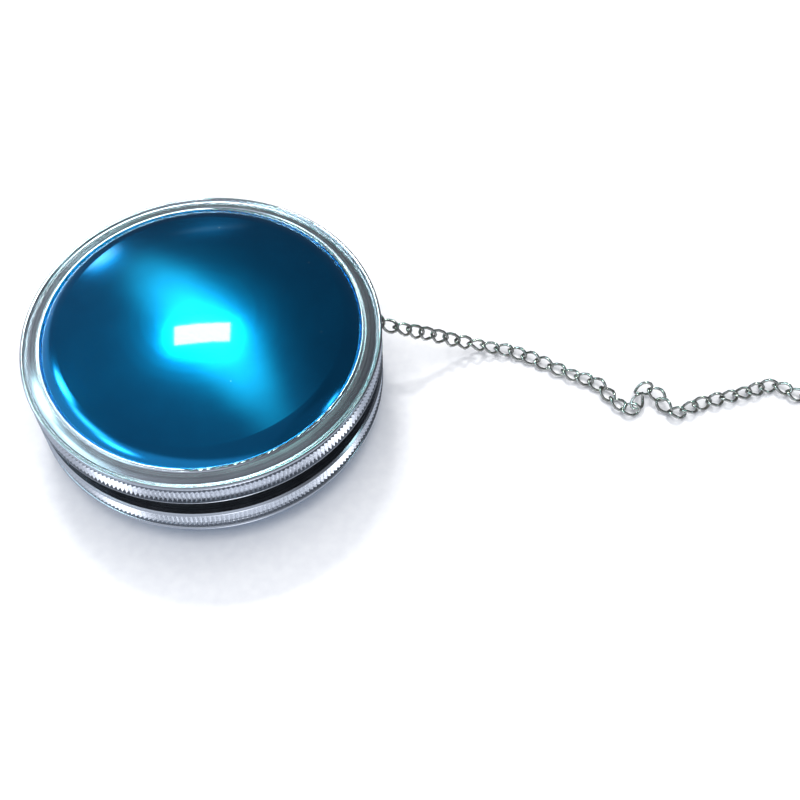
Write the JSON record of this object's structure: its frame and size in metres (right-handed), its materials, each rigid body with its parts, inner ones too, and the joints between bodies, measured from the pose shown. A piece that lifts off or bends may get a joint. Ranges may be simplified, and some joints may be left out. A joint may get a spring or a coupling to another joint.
{
  "type": "yo-yo",
  "caption": "Metal yo-yo with domed blue caps, coin-edged halves, a ball bearing and a fine chain with a finger ring.",
  "frame": {"origin": "middle of the axle, halfway between the two halves", "axes": "+Z along the spin axis, through the upper cap; +X towards the side where the chain leaves"},
  "size_m": [0.1608, 0.057, 0.0218],
  "materials": {
    "body_aluminium": "turned",
    "bezel_aluminium": "brushed round",
    "cap_blue": "dyed, polished and lacquered",
    "plated_steel": "zinc plated",
    "brass": "turned",
    "silicone": "matt",
    "bearing_steel": "ground and polished",
    "cage_nylon": "moulded",
    "chain_steel": "nickel plated",
    "ring_steel": "nickel plated and polished"
  },
  "bodies": {
    "lower_half": {"lower_half_body": "body_aluminium", "lower_bezel": "bezel_aluminium", "lower_cap": "cap_blue", "lower_hub_nut": "plated_steel", "lower_bearing_seat": "brass", "lower_response_pad": "silicone", "axle": "plated_steel", "bearing_inner_race": "bearing_steel"},
    "upper_seat": {"upper_bearing_seat": "brass"},
    "upper_half": {"upper_half_body": "body_aluminium", "upper_bezel": "bezel_aluminium", "upper_cap": "cap_blue", "upper_hub_nut": "plated_steel", "upper_response_pad": "silicone"},
    "ball_set": {"bearing_balls": "bearing_steel", "bearing_cage": "cage_nylon"},
    "chain": {"bearing_outer_race": "bearing_steel", "upper_bearing_shield": "bearing_steel", "lower_bearing_shield": "bearing_steel", "chain_loop": "chain_steel", "chain_winding": "chain_steel", "chain_run": "chain_steel", "end_ring": "ring_steel"},
    "finger_ring": {"finger_ring": "ring_steel"}
  },
  "joints": [
    {"name": "chain_spin", "type": "hinge", "parent": "lower_half", "child": "chain", "pos_m": [0, 0, 0], "axis": [0, 0, 1], "continuous": true},
    {"name": "ball_orbit", "type": "hinge", "parent": "lower_half", "child": "ball_set", "pos_m": [0, 0, 0], "axis": [0, 0, 1], "continuous": true},
    {"name": "upper_lift", "type": "slide", "parent": "lower_half", "child": "upper_seat", "axis": [0, 0, 1], "range_m": [0, 0.0028]},
    {"name": "upper_unscrew", "type": "hinge", "parent": "upper_seat", "child": "upper_half", "pos_m": [0, 0, 0], "axis": [0, 0, 1], "range_deg": [0, 1440]},
    {"name": "ring_swing", "type": "hinge", "parent": "chain", "child": "finger_ring", "pos_m": [0.1053, -0.0008, -0.0091], "axis": [0, -1, 0], "range_deg": [0, 110]}
  ],
  "couplings": [
    {"joint": "ball_orbit", "follows": "chain_spin", "ratio": 0.5834},
    {"joint": "upper_lift", "follows": "upper_unscrew", "m_per_rad": 0.00011141}
  ]
}
